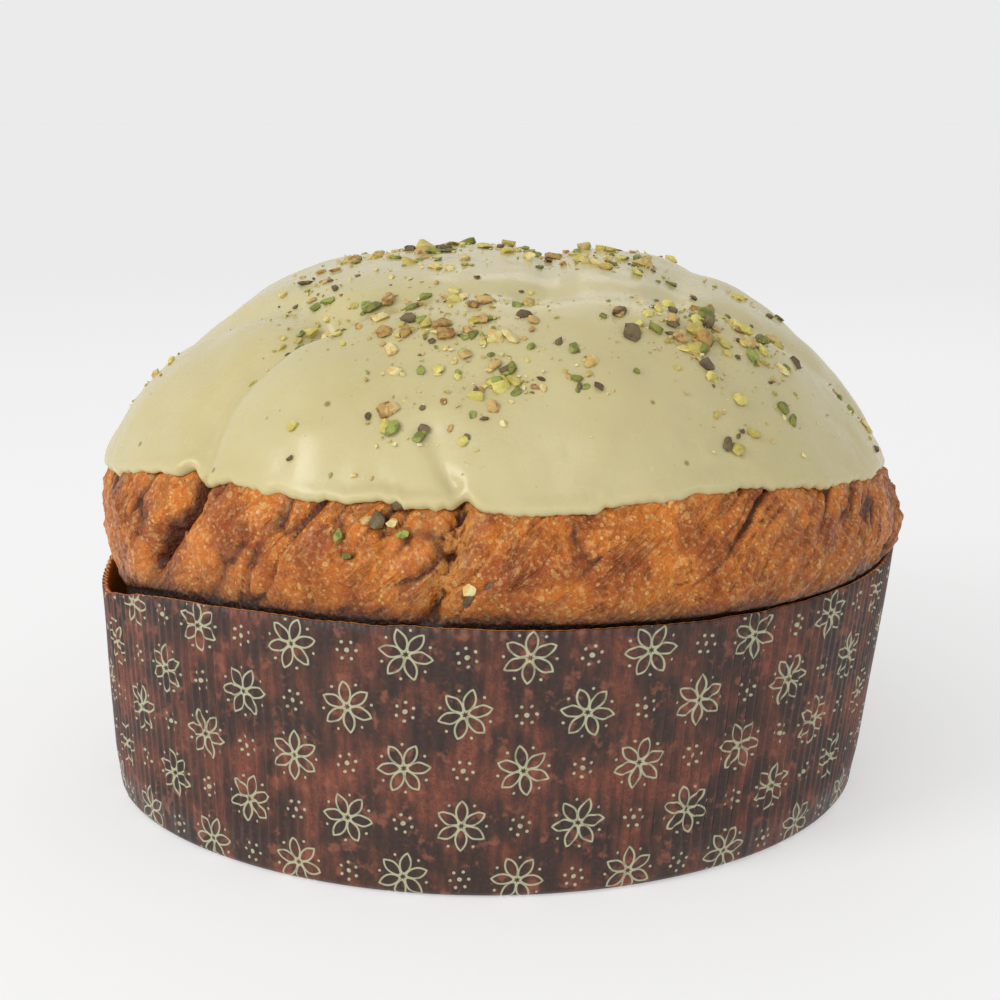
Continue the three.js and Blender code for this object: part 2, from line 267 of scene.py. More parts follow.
def row_height(azimuth, edge, share):
    """The crown's height at a share of the way from an edge height to the top, in even steps."""
    low = waist_height(azimuth)
    first = np.arcsin(((edge - low) / (TOP_HEIGHT - low)) ** (CROWN_POWER / 2))
    angle = math.pi / 2 - (math.pi / 2 - first) * (1 - share) ** ROW_EVENNESS
    return low + (TOP_HEIGHT - low) * np.sin(angle) ** (2 / CROWN_POWER)


def outward(azimuth, height):
    step = 0.05
    below = crown_radius(azimuth, height - step)
    above = crown_radius(azimuth, np.minimum(height + step, TOP_HEIGHT))
    normal = polar(azimuth, np.ones_like(height), (below - above) / (2 * step))
    return normal / np.linalg.norm(normal, axis=-1, keepdims=True)


front_rim, low_rim = float(rim_height(270.0)), float(rim_height(LOW_RIM))
print("rim", round(front_rim, 1), "mm, lowest rim", round(low_rim, 1), "mm")

# %% [markdown]
# A loaf scored with a cross opens into lobes as it rises, and folds where they meet.
# Those valleys could be sculpted, or pushed into the mesh with curves and a shrinkwrap.
# Here each crease is a path of a few points over the crown, and its depth fades with
# distance like a soft brush stroke. The lobes between are wide, low swells.

# %% Creases and lobes
CREASES = {
    "left split": (
        [(230, 130.1), (225, 121.3), (223, 109.4), (225, 95.5), (223, 85.6), (217, 72)], 5.0, 4.4),
    "front split": ([(260, 108.4), (263, 100.4), (265, 94.7), (264, 83.8), (262, 69.7)], 2.8, 3.0),
    "top valley": (
        [(230, 130.1), (240, 133.3), (250, 136.1), (264, 137.1), (280, 136.9), (298, 135.7),
         (315, 133), (330, 126.9), (341, 116.7), (349, 104.4), (352, 93.5)], 6.0, 3.0),
    "back valley": (
        [(280, 136.9), (290, 139.6), (430, 140.1), (444, 131.9), (448, 116.5), (452, 95.4)], 6.0, 3.2),
    "left valley": (
        [(230, 130.1), (213, 132), (196, 127.1), (182, 116.6), (175, 101.2), (172, 85.9)], 6.0, 3.2),
    "right shallow": ([(315, 133), (350, 136.7), (380, 131.9), (398, 116.5), (404, 97.2)], 6.5, 2.2),
}
LOBES = [
    ((243, 110.6), 24, 2.8),
    ((290, 110.6), 28, 1.8),
    ((205, 110.6), 20, 1.2),
    ((330, 124.2), 18, 1.2),
    ((170, 138.6), 22, 0.6),
    ((10, 138.6), 22, 1.2),
    ((60, 116.5), 26, 2),
    ((130, 116.5), 26, 2),
]


def smooth_line(points, steps=6):
    """A curve through the points, as a line of short straight pieces."""
    padded = np.concatenate([points[:1], points, points[-1:]])
    line = []
    for before, start, end, after in zip(padded, padded[1:], padded[2:], padded[3:]):
        square = 2 * before - 5 * start + 4 * end - after
        cube = 3 * start - 3 * end + after - before
        for t in np.arange(steps) / steps:
            line.append(start + 0.5 * ((end - before) * t + (square * t**2 + cube * t**3)))
    return np.array(line + [points[-1]])


def distance_to(line, points):
    nearest = np.full(points.shape[:-1], np.inf)
    for start, end in zip(line, line[1:]):
        along = end - start
        share = np.clip((points - start) @ along / (along @ along), 0, 1)
        nearest = np.minimum(nearest, np.linalg.norm(points - start - share[..., None] * along, axis=-1))
    return nearest


CREASE_LINES = {}
for name, (way, _, _) in CREASES.items():
    on_crown = np.array([crown_point(float(azimuth), float(height)) for azimuth, height in way])
    CREASE_LINES[name] = smooth_line(on_crown)


def lobed_relief(points, wider=0.0, deeper=0.0, filled=None):
    """How far the loaf swells or dips at points of the crown, some creases partly filled."""
    rise = np.zeros(points.shape[:-1])
    for name, (_, crease_half, crease_depth) in CREASES.items():
        away = distance_to(CREASE_LINES[name], points) / (crease_half + wider)
        depth = (crease_depth + deeper) * (1 - (filled or {}).get(name, 0.0))
        rise -= depth * np.exp(-(away**2))
    for (azimuth, height), spread, swell in LOBES:
        away = np.linalg.norm(points - crown_point(float(azimuth), float(height)), axis=-1)
        rise += swell * np.exp(-((away / spread) ** 2))
    return rise


print(len(CREASES), "creases,", len(LOBES), "lobes")

# %% [markdown]
# Dough, icing and paper all need unevenness that repeats nowhere. Blender's own noise
# would do, one point at a time; a lattice of random numbers, blended smoothly between
# its corners, does the same for a whole mesh at once and gives the same result each run.

# %% Noise for shapes
LATTICE = 32
LATTICE_SEED = 11
lattice = np.random.default_rng(LATTICE_SEED).random((LATTICE, LATTICE, LATTICE))


def noise(points, scale, shift=0.0):
    """Smooth noise from -1 to 1, with bumps about one scale wide."""
    position = points / scale + shift
    corner = np.floor(position).astype(int)
    part = position - corner
    part = part * part * (3 - 2 * part)
    total = np.zeros(points.shape[:-1])
    for offset in np.ndindex(2, 2, 2):
        x, y, z = [(corner[..., k] + offset[k]) % LATTICE for k in range(3)]
        weight = np.ones(points.shape[:-1])
        for k in range(3):
            weight = weight * (part[..., k] if offset[k] else 1 - part[..., k])
        total += weight * lattice[x, y, z]
    return 2 * total - 1


def noise_layers(points, layers):
    """The sum of several noises, each given as its height, scale and shift."""
    return sum(height * noise(points, scale, shift) for height, scale, shift in layers)


def round_the_loaf(azimuth, height, radius=RIM_RADIUS):
    """Points of a cylinder, on which noise closes without a seam."""
    return polar(azimuth, np.full_like(azimuth * 1.0, radius), height)


print("noise lattice of", LATTICE, "cubed")

# %% [markdown]
# All three large pieces are grids bent round the axis: columns by azimuth, rows down
# the outline, and a pole at each end. One maker turns such a grid into a closed mesh,
# with a UV map in centimetres where a print has to lie on it, and stores measured
# values, such as how deep a fold is, for the materials to read.

# %% Maker for round pieces
METRES = 0.001


def round_piece(name, rows, poles, uv=None, values=None, slots=None):
    """A closed mesh from rows of points in millimetres, anticlockwise, top row first."""
    count, around = rows.shape[:2]
    points = np.concatenate([rows.reshape(-1, 3), poles]) * METRES
    top, bottom = count * around, count * around + 1
    column = np.arange(around)
    following = (column + 1) % around
    start = np.arange(count - 1)[:, None] * around
    upper, lower = start, start + around
    quads = np.stack([upper + column, lower + column, lower + following, upper + following], -1)
    last = (count - 1) * around
    caps = [(top, a, b) for a, b in zip(column.tolist(), following.tolist())]
    caps += [(bottom, last + b, last + a) for a, b in zip(column.tolist(), following.tolist())]
    mesh = bpy.data.meshes.new(name)
    mesh.from_pydata(points.tolist(), [], quads.reshape(-1, 4).tolist() + caps)
    mesh.polygons.foreach_set("use_smooth", np.ones(len(mesh.polygons), bool))
    if slots is not None:
        all_rows = np.concatenate([slots, slots[:1], slots[-1:]])
        index = np.repeat(all_rows, around)
        mesh.polygons.foreach_set("material_index", index.astype(np.int32))
    if uv is not None:
        wrapped = np.concatenate([uv, uv[:, :1] + [UV_TURN, 0]], axis=1)
        corner = [wrapped[:-1, :-1], wrapped[1:, :-1], wrapped[1:, 1:], wrapped[:-1, 1:]]
        flat = np.stack(corner, 2).reshape(-1, 2)
        caps_uv = np.zeros((len(caps) * 3, 2))
        layer = mesh.uv_layers.new(name="print")
        layer.data.foreach_set("uv", np.concatenate([flat, caps_uv]).ravel())
    for label, value in (values or {}).items():
        attribute = mesh.attributes.new(label, "FLOAT", "POINT")
        attribute.data.foreach_set("value", np.concatenate([value.ravel(), [0.0, 0.0]]))
    mesh.validate()
    mesh.update()
    print(name, "has", len(mesh.vertices), "points and", len(mesh.polygons), "faces")
    return new_object(name, mesh)


# %% [markdown]
# The mould is corrugated baking paper: a flat band pressed into fine upright flutes,
# rolled into a ring and crimped round a disc. The flutes could be a bump in the
# material, but they scallop the cut rim and break up the outline, so they are modelled,
# eight columns to a flute. The outer sheet overlaps at the left, where its end shows as
# an upright step, and a row of short crimps runs round just above the base.

# %% Paper mould
FLUTES = 230
COLUMNS_A_FLUTE = 8
FLUTE_DEPTH = 0.27
FLUTE_START = 6.0
SEAM_AZIMUTH = 203.0
SEAM_STEP = 0.6
SEAM_FADE = 14.0
CRIMP_HEIGHT = 4.2
CRIMP_DEPTH = 0.6
CRIMP_HALF = 0.9
RIM_TURN = 0.25
CAP_RADIUS = 45.0
INSIDE, OUTSIDE = 0, 1
PRINT_RADIUS = 107.0
CENTIMETRE = 10.0
UV_TURN = 2 * math.pi * PRINT_RADIUS / CENTIMETRE


def flute_relief(azimuth, height):
    """Flutes, soft dents and the overlap of the outer sheet."""
    wander = 0.18 * noise(round_the_loaf(azimuth, height * 0.25), 9.0)
    strength = 1 + 0.6 * noise(round_the_loaf(azimuth, height * 0.3), 21.0, 5.0)
    start = np.clip((height - FLUTE_START) / 5, 0.15, 1)
    flute = FLUTE_DEPTH * strength * start * np.cos(np.radians(azimuth) * FLUTES + wander)
    dents = 0.35 * noise(round_the_loaf(azimuth, height), 26.0, 3.0) * np.clip(height / 10, 0, 1)
    past_seam = (azimuth - SEAM_AZIMUTH) % 360
    overlap = SEAM_STEP * np.clip(1 - past_seam / SEAM_FADE, 0, 1)
    crimp = np.exp(-(((height - CRIMP_HEIGHT) / CRIMP_HALF) ** 2))
    crimp = crimp * (0.6 + 0.4 * np.cos(np.radians(azimuth) * FLUTES / 2))
    return flute + dents + overlap - CRIMP_DEPTH * crimp


around = np.arange(FLUTES * COLUMNS_A_FLUTE) * 360.0 / (FLUTES * COLUMNS_A_FLUTE)
scallops = 0.12 * np.cos(np.radians(around) * FLUTES)
rim = rim_height(around) + scallops + 0.3 * noise(round_the_loaf(around, around * 0), 7.0)
paper_rows, paper_heights, row_slots = [], [], []


def add_paper_row(height, inset, relief_share, slot):
    height = height + 0 * around
    relief = relief_share * flute_relief(around, height)
    paper_rows.append(mould_point(around, height, inset - relief))
    paper_heights.append(height)
    row_slots.append(slot)


add_paper_row(PAPER, CAP_RADIUS, 0, INSIDE)
add_paper_row(PAPER, PAPER + FOLD, 0, INSIDE)
add_paper_row(PAPER + FOLD, PAPER, 0, INSIDE)
for share in np.linspace(0.1, 1, 8):
    height = PAPER + FOLD + (rim - RIM_TURN - PAPER - FOLD) * share
    add_paper_row(height, PAPER, 0.9, INSIDE)
add_paper_row(rim, PAPER - RIM_TURN, 1, INSIDE)
add_paper_row(rim, RIM_TURN, 1, OUTSIDE)
for share in np.linspace(1, 0, 22):
    add_paper_row(FOLD + 1.5 + (rim - RIM_TURN - FOLD - 1.5) * share, 0.0, 1, OUTSIDE)
for angle in np.radians([20, 45, 70]):
    add_paper_row(FOLD * (1 - math.sin(angle)), FOLD * (1 - math.cos(angle)), 0.3, OUTSIDE)
add_paper_row(0.0, FOLD, 0, OUTSIDE)
add_paper_row(0.0, CAP_RADIUS, 0, OUTSIDE)
paper_rows = np.array(paper_rows)
print_across = np.broadcast_to(around / 360 * UV_TURN, paper_rows.shape[:2])
paper_uv = np.stack([print_across, np.array(paper_heights) / CENTIMETRE], -1)
paper_poles = [(BASE_SHIFT, 0, PAPER), (BASE_SHIFT, 0, 0)]
row_slots = np.array(row_slots[:-1])
paper_case = round_piece("fluted_mould", paper_rows, paper_poles, uv=paper_uv, slots=row_slots)

# %% [markdown]
# The crust is the only part of the loaf that shows. Steam wrinkles it into folds, which
# run upright at the left and lean over to the right, and small blisters sit between
# them. The two splits tear it open. Displacing one fine grid by all of these keeps the
# forms together in the mesh. The same numbers are stored on its points, so that the
# material can paint shade into the folds, burnt colour and painted shade onto the foot,
# and run fine wrinkles the same way.

# %% Crust and crumb
CRUST_COLUMNS = 1080
CRUST_ROWS = 64
EDGE_TUCK = 4.0
EDGE_TEETH = [(0.5, 4.5, 2.0), (0.5, 1.9, 9.0), (0.9, 15.0, 4.0)]
EDGE_NOTCHES = [(2.6, 222.8, 1.2), (3.0, 265.6, 1.5), (-0.8, 227, 1.5)]
CRUST_SWELLS = [(0.6, 13.0, 3.0), (0.5, 5.0, 8.0)]
LEAN_GAP = 6.0
LEFT_CRACK = (5.0, 1.7)
FRONT_CRACK = (1.6, 0.8)
BREAD_SUNK = 1.2


def icing_edge_fine(azimuth):
    """The icing's edge with its small teeth and the notches at the splits."""
    teeth = noise_layers(round_the_loaf(azimuth, azimuth * 0), EDGE_TEETH)
    notches = sum(depth * hump(azimuth, middle, width) for depth, middle, width in EDGE_NOTCHES)
    return icing_edge(azimuth) + teeth + notches


def crust_fold(azimuth, height):
    return 0.6 * sine(11 * azimuth + 4 * height) + 0.4 * sine(17 * azimuth - 6 * height + 60)


def fold_place(azimuth, height):
    """Places in which upright folds stand at the left, and lean to the right at the right."""
    lean = 0.15 + 0.7 * (0.5 + 0.5 * cosine(azimuth - 340)) ** 1.5
    wander = 1.6 * noise(round_the_loaf(azimuth, height), 9.0, 12.0)
    return round_the_loaf(azimuth - (height - 80) * lean + wander, height * 0.42)


def fold_lines(places, scale, shift):
    """Thin valleys between soft ridges: 1 in a valley, 0 on a ridge."""
    return np.exp(-9 * np.abs(noise(places, scale, shift)))


def crust_detail(places, points):
    """Relief of the crust in millimetres, and how deep its folds are."""
    folded = np.clip(0.95 + 1.0 * noise(points, 15.0, 9.0), 0.6, 1.3)
    folds = 1.1 * fold_lines(places, 11.0, 7.0) + 1.0 * fold_lines(places, 5.5, 0.0)
    folds = folds * folded + 0.5 * fold_lines(places, 2.8, 4.0) + 0.6 * fold_lines(points, 5.0, 2.0)
    swells = noise_layers(places, CRUST_SWELLS)
    blisters = np.clip(noise(points, 2.2, 1.0), 0.15, 1) - 0.15
    return 0.7 - folds + swells + 0.9 * blisters + 0.2 * noise(points, 1.3, 6.0), folds


def neck_point(azimuth, height):
    lean = LEAN_GAP * hump(azimuth, LOW_RIM, 26) * (height / MOULD_HEIGHT)
    return mould_point(azimuth, height, PAPER + GAP + lean)


def under_coat(points, sunk):
    """Relief of the crown below the icing, where its creases are wider and deeper."""
    return lobed_relief(points, wider=4.0, deeper=0.8) - sunk


def crack(split, wander, depth, half):
    return depth * np.exp(-np.abs(split + wander) / half)


crust_azimuth = np.arange(CRUST_COLUMNS) * 360.0 / CRUST_COLUMNS
crust_rim = rim_height(crust_azimuth)
crust_edge = icing_edge_fine(crust_azimuth)
share = np.linspace(1, 0, CRUST_ROWS)[:, None]
crust_low = crust_rim + RIM_CLEARANCE
crust_heights = crust_low + (crust_edge + EDGE_TUCK - crust_low) * share
crust_azimuths = np.broadcast_to(crust_azimuth, crust_heights.shape)
base_points = crown_point(crust_azimuths, crust_heights)
crust_places = fold_place(crust_azimuths, crust_heights)
detail, fold_depth = crust_detail(crust_places, round_the_loaf(crust_azimuths, crust_heights))
foot_share = np.exp(-(crust_heights - crust_low) / 3.2)
detail += 1.1 * noise(base_points, 2.6, 5.0) * foot_share
left_split = distance_to(CREASE_LINES["left split"], base_points)
front_split = distance_to(CREASE_LINES["front split"], base_points)
crack_wander = 0.8 * noise(base_points, 3.0, 4.0)
cracks = crack(left_split, crack_wander, *LEFT_CRACK) + crack(front_split, crack_wander, *FRONT_CRACK)
under_icing = np.clip((crust_heights - crust_edge) / 1.5, 0, 1)
lift = lobed_relief(base_points) + 0.8 * crust_fold(crust_azimuths, crust_heights) + detail - cracks
lift = lift * (1 - under_icing) + under_coat(base_points, BREAD_SUNK) * under_icing
full = base_points + outward(crust_azimuths, crust_heights) * lift[..., None]
overhang = OVERHANG - RIM_CLEARANCE + LEAN_RISE * hump(crust_azimuths, LOW_RIM, 22)
over_rim = np.clip((crust_heights - crust_low) / overhang, 0, 1)
bulge = np.sqrt(1 - (1 - over_rim) ** 2)[..., None]
crust_rows = neck_point(crust_azimuths, crust_heights) * (1 - bulge) + full * bulge

dome_rows = []
for dome_share in np.linspace(0.97, 0.06, 16):
    height = row_height(crust_azimuth, crust_edge + EDGE_TUCK, dome_share)
    points = crown_point(crust_azimuth, height)
    drop = under_coat(points, BREAD_SUNK)
    dome_rows.append(points + outward(crust_azimuth, height) * drop[:, None])
lower_rows = [
    neck_point(crust_azimuth, crust_rim - 1.5),
    neck_point(crust_azimuth, crust_azimuth * 0 + 35.0),
    neck_point(crust_azimuth, crust_azimuth * 0 + PAPER + FOLD + GAP),
    mould_point(crust_azimuth, crust_azimuth * 0 + PAPER + GAP, PAPER + FOLD + GAP),
]
bread_rows = np.concatenate([dome_rows, crust_rows, lower_rows])


def on_all_rows(value):
    """A value of the crust's own rows, spread to the rows above and below them."""
    above = np.repeat(value[:1], len(dome_rows), 0)
    below = np.repeat(value[-1:], len(lower_rows), 0)
    return np.concatenate([above, value, below])


crust_values = {
    # Fold and crack depth, which also drives the painted shade in the folds.
    "fold": on_all_rows(fold_depth + 1.0 * cracks),
    "fold_x": on_all_rows(crust_places[..., 0] * METRES),
    "fold_y": on_all_rows(crust_places[..., 1] * METRES),
    "fold_z": on_all_rows(crust_places[..., 2] * METRES),
    # Nearness to the paper rim: it drives burnt colour with painted shade at the foot.
    "scorch_and_shade": on_all_rows(foot_share),
    "tear": on_all_rows(np.exp(-((front_split / 3.5) ** 2)) * (crust_heights > 72)),
}
bread_poles = [(0, 0, TOP_HEIGHT - 2), (BASE_SHIFT, 0, PAPER + GAP)]
bread = round_piece("crust_and_crumb", bread_rows, bread_poles, values=crust_values)

# %% [markdown]
# The icing was poured warm and set as it ran. It fills the creases softly, thins out
# over the lobes, and stops in a rounded lip with a ragged edge. It could be the crown
# with a Solidify modifier, but a real lip is thicker than the sheet behind it, so the
# thickness here follows the distance from the edge: a quarter circle, a low bead, and
# then the plain coat. Slow waves and faint runs keep the gloss from looking machined,
# and a small crack opens at the front split.

# %% Icing
ICING_COLUMNS = 720
LIP_WIDTH = 1.7
FILLED = {
    "front split": 0.75, "top valley": 0.4, "left split": 0.2,
    "back valley": 0.25, "right shallow": 0.3}
ICING_WAVES = [(1.2, 25.0, 2.0), (0.75, 12.0, 7.0), (0.22, 5.5, 5.0)]
UNDERSIDE_SUNK = 0.3
BEAD = 0.22
CROWN_LENGTH = 125.0
LIP_ROWS = 7
FACE_ROWS = 116


def icing_unevenness(points, from_edge):
    """Slow waves of the set icing, with runs that point down near its edge."""
    waves = noise_layers(points, ICING_WAVES)
    flat = points * [1, 1, 0.15]
    runs = 0.3 * noise(flat, 7.0, 8.0) * np.exp(-(((from_edge - 12) / 12) ** 2))
    dimples = -0.35 * np.clip(noise(points, 5.0, 3.0) - 0.45, 0, 1)
    from_split = distance_to(CREASE_LINES["front split"], points) + 0.5 * noise(points, 3.0, 4.0)
    split = -1.0 * np.exp(-((from_split / 1.3) ** 2)) * np.exp(-(((from_edge - 5) / 6) ** 2))
    return (waves + runs + dimples + split) * np.clip(from_edge / 5, 0, 1)


def icing_lift(points, from_edge, azimuth):
    fullness = 1 + 0.22 * noise(round_the_loaf(azimuth, azimuth * 0), 13.0, 1.0)
    inside = np.clip(from_edge / LIP_WIDTH, 0, 1)
    coat = ICING * np.sqrt(1 - (1 - inside) ** 2)
    bead = BEAD * np.exp(-(((from_edge - 2.6) / 1.8) ** 2)) * inside
    edge_share = np.exp(-((from_edge / 8) ** 2))
    return (coat + bead) * (1 + (fullness - 1) * edge_share) + icing_unevenness(points, from_edge)


def icing_surface(azimuth, height, from_edge):
    points = crown_point(azimuth, height)
    rise = lobed_relief(points, filled=FILLED) + icing_lift(points, from_edge, azimuth)
    return points + outward(azimuth, height) * rise[..., None]


icing_azimuth = np.arange(ICING_COLUMNS) * 360.0 / ICING_COLUMNS
edge_line = icing_edge_fine(icing_azimuth)
lip_steps = LIP_WIDTH * (1 - np.cos(np.linspace(0, math.pi / 2, LIP_ROWS)))
face_steps = LIP_WIDTH + (CROWN_LENGTH * 0.992 - LIP_WIDTH) * np.linspace(0, 1, FACE_ROWS)[1:]
steps_up = np.concatenate([lip_steps, face_steps])[::-1, None]
face_azimuths = np.broadcast_to(icing_azimuth, (len(steps_up), ICING_COLUMNS))
face_heights = row_height(face_azimuths, edge_line, steps_up / CROWN_LENGTH)
from_edge = np.broadcast_to(steps_up, face_heights.shape)
face_rows = icing_surface(face_azimuths, face_heights, from_edge)
under_rows = []
for under_share in [0.01, 0.1, 0.25, 0.4, 0.55, 0.7, 0.85, 0.97]:
    height = row_height(icing_azimuth, edge_line, under_share)
    points = crown_point(icing_azimuth, height)
    rise = under_coat(points, UNDERSIDE_SUNK)
    under_rows.append(points + outward(icing_azimuth, height) * rise[:, None])
icing_rows = np.concatenate([face_rows, under_rows])
top_point = face_rows[0].mean(axis=0)
under_point = under_rows[-1].mean(axis=0)
icing = round_piece("poured_icing", icing_rows, [tuple(top_point), tuple(under_point)])

# %% [markdown]
# The nuts are pistachios chopped with a knife and thrown on by hand, so they lie in loose
# heaps. They could be painted on one by one. A list of heaps, each with its spread, its
# count and its size of chip, is shorter, and the solids drew theirs by the same rule from
# the same seed. The ones too small to be solids come with them.

# %% Where the nuts lie
NUT_SPOTS = [
    ((-89, -24), 2, 2, 4.4),
    ((-45, -62), 16, 6, 2.6),
    ((-51, -29), 7, 8, 3.6),
    ((-27, -2), 11, 18, 5.2),
    ((-45, -51), 5, 8, 4.2),
    ((-32, -56), 5, 8, 5.0),
    ((-14, -54), 7, 12, 4.8),
    ((1, -63), 8, 14, 4.4),
    ((-19, -69), 6, 12, 4.2),
    ((-5, -72), 6, 10, 4.0),
    ((-25, -87.4), 1.8, 5, 5.4),
    ((-19, -91), 1, 2, 5.6),
    ((-4, -86), 6, 12, 4.0),
    ((11, -79), 7, 10, 3.8),
    ((28, -61), 3, 3, 5.8),
    ((20, -80), 3, 3, 4.0),
    ((45, -59), 6, 26, 5.2),
    ((51, -42), 7, 12, 5.0),
    ((61, -50), 5, 10, 4.6),
    ((52, -73), 5, 6, 4.6),
    ((70, -40), 5, 4, 5.0),
    ((67, -61), 2, 2, 5.4),
    ((91, -25), 3, 4, 4.8),
    ((55, -80), 1, 1, 4.0),
    ((34, -18), 8, 14, 5.0),
    ((3, -12), 14, 14, 4.8),
    ((63, -6), 6, 4, 4.0),
    ((-2, 14), 16, 22, 4.8),
    ((-38, 26), 14, 16, 4.6),
    ((36, 24), 15, 18, 4.8),
    ((2, 56), 14, 18, 4.4),
    ((-52, 60), 9, 7, 4.2),
    ((54, 58), 10, 8, 4.4),
]
CRUST_SPOTS = [
    ((257, 90), 2.2, 5, 5.6),
    ((270, 77), 2.5, 3, 5.8),
    ((253, 84), 2.0, 2, 4.4),
]
NUT_SEED = 20
CRUST_SEED = 7


def random_from(seed):
    """Random numbers from 0 to 1, the same ones in every run."""
    state = seed
    while True:
        state = (state * 1664525 + 1013904223) % 2**32
        yield state / 2**32


def scatter(spots, seed):
    draw = random_from(seed)
    nuts = []
    for (x, y), spread, count, size in spots:
        for _ in range(count):
            turn = 360 * next(draw)
            away = spread * math.sqrt(-2 * math.log(1 - 0.9 * next(draw)))
            nuts.append({
                "at": (x + away * math.cos(math.radians(turn)), y + away * math.sin(math.radians(turn))),
                "size": size * (0.6 + 0.8 * next(draw) ** 1.5),
                "yaw": math.radians(360 * next(draw)),
                "slim": 0.55 + 0.35 * next(draw),
                "flat": 0.35 + 0.25 * next(draw),
            })
    return nuts


icing_nuts = scatter(NUT_SPOTS, NUT_SEED)
crust_nuts = scatter(CRUST_SPOTS, CRUST_SEED)
print(len(icing_nuts), "nuts on the icing,", len(crust_nuts), "on the crust")

# %% [markdown]
# Every nut needs the point of the surface it stands on, and which way is up there. A ray
# cast onto the mesh would find them; the formula of the surface gives them directly.
# Nuts that would hang over the icing's edge are left out, and small chips are thrown in
# round the large ones, as a knife leaves them.

# %% Feet for the nuts
SMALL_COUNT = 380
SMALL_SEED = 17
SMALL_THROW = 4.5
NUT_CLEARANCE = 2


def foot_on_icing(x, y):
    """The point and normal of the icing's face at a place seen from above."""
    azimuth = np.degrees(np.arctan2(y, x)) % 360
    height = crown_height(azimuth, np.hypot(x, y))
    away = (height - icing_edge_fine(azimuth)) * 1.2
    points = icing_surface(azimuth, height, np.maximum(away, 0))
    return points, outward(azimuth, height), away


def foot_on_crust(azimuth, height):
    points = crown_point(azimuth, height)
    rise = lobed_relief(points) + 0.8 * crust_fold(azimuth, height)
    return points + outward(azimuth, height) * rise[..., None], outward(azimuth, height)


nut_x, nut_y = np.array([nut["at"] for nut in icing_nuts]).T
nut_feet, nut_normals, nut_away = foot_on_icing(nut_x, nut_y)
crust_at = np.array([nut["at"] for nut in crust_nuts])
crust_feet, crust_normals = foot_on_crust(crust_at[:, 0], crust_at[:, 1])
placed = []
for nut, foot, normal, away in zip(icing_nuts, nut_feet, nut_normals, nut_away):
    if away > NUT_CLEARANCE:
        placed.append((nut, foot, normal))
placed += list(zip(crust_nuts, crust_feet, crust_normals))
small_random = np.random.default_rng(SMALL_SEED)
start = small_random.integers(0, len(icing_nuts), SMALL_COUNT)
throw = small_random.normal(0, SMALL_THROW, (SMALL_COUNT, 2))
small_x, small_y = nut_x[start] + throw[:, 0], nut_y[start] + throw[:, 1]
small_feet, small_normals, small_away = foot_on_icing(small_x, small_y)
for foot, normal, away in zip(small_feet, small_normals, small_away):
    small = {
        "size": small_random.uniform(1.0, 2.6),
        "yaw": small_random.uniform(0, 2 * math.pi),
        "slim": small_random.uniform(0.5, 0.9),
        "flat": small_random.uniform(0.35, 0.65),
    }
    if away > NUT_CLEARANCE:
        placed.append((small, foot, normal))
print(len(placed), "nuts placed")

# %% [markdown]
# A knife leaves flat, sharp sides: green and yellow flesh, some with purple skin. A ball
# cut by random planes would give such chips. The hull of a few random points in a
# flattened ball gives the same uneven facets in one step, and it is always closed. All
# chips of a kind are one mesh, so that hundreds of them stay light.

# %% Chips
KINDS = {
    "nut_chips_green": 0.24,
    "nut_chips_yellow": 0.30,
    "nut_chips_purple": 0.13,
    "nut_chips_brown": 0.15,
    "nut_chips_cream": 0.18,
}
CHIP_POINTS = 22
SHARP_ANGLE = 42
CHIP_SEED = 31
CHIP_TILT = 0.25
CHIP_RAISE = 0.22


def chip_points(random, size, slim, flat):
    """Random points near the skin of a flattened ball, with one flat cut face."""
    points = random.normal(size=(CHIP_POINTS, 3))
    points /= np.linalg.norm(points, axis=1, keepdims=True)
    points *= random.uniform(0.8, 1.04, (CHIP_POINTS, 1))
    points[:, 2] = np.minimum(points[:, 2], random.uniform(0.3, 0.8))
    return points * 0.5 * np.array([size, size * slim, size * flat])


def to_surface(points, yaw, tilt, normal):
    """Turns a flat chip about its own axis, tips it, and lays it on a surface."""
    spin = np.array([[math.cos(yaw), -math.sin(yaw), 0], [math.sin(yaw), math.cos(yaw), 0], [0, 0, 1]])
    tip = np.array([[1, 0, 0], [0, math.cos(tilt), -math.sin(tilt)], [0, math.sin(tilt), math.cos(tilt)]])
    upright = np.array(Vector((0, 0, 1)).rotation_difference(Vector(normal)).to_matrix())
    return points @ (upright @ spin @ tip).T


def hull_piece(name, hulls):
    """One mesh of many small convex chips, each with its own tone."""
    body = bmesh.new()
    tone_layer = body.verts.layers.float.new("tone")
    for points, tone in hulls:
        fresh = [body.verts.new(Vector(point * METRES)) for point in points]
        for vertex in fresh:
            vertex[tone_layer] = tone
        made = bmesh.ops.convex_hull(body, input=fresh)
        spare = set(made["geom_interior"]) | set(made["geom_unused"])
        loose = [item for item in spare if isinstance(item, bmesh.types.BMVert)]
        bmesh.ops.delete(body, geom=loose, context="VERTS")
    bmesh.ops.recalc_face_normals(body, faces=body.faces)
    mesh = bpy.data.meshes.new(name)
    body.to_mesh(mesh)
    body.free()
    mesh.polygons.foreach_set("use_smooth", np.ones(len(mesh.polygons), bool))
    mesh.set_sharp_from_angle(angle=math.radians(SHARP_ANGLE))
    print(name, "has", len(hulls), "chips and", len(mesh.polygons), "faces")
    return new_object(name, mesh)


chip_random = np.random.default_rng(CHIP_SEED)
kind_names = list(KINDS)
kind_shares = np.array(list(KINDS.values()))
hulls_by_kind = {kind: [] for kind in KINDS}
for nut, foot, normal in placed:
    kind = chip_random.choice(kind_names, p=kind_shares / kind_shares.sum())
    points = chip_points(chip_random, nut["size"], nut["slim"], nut["flat"])
    turned = to_surface(points, nut["yaw"], chip_random.normal(0, CHIP_TILT), normal)
    raised = foot + normal * nut["size"] * nut["flat"] * CHIP_RAISE
    hulls_by_kind[kind].append((turned + raised, chip_random.random()))
nut_pieces = {kind: hull_piece(kind, hulls) for kind, hulls in hulls_by_kind.items()}

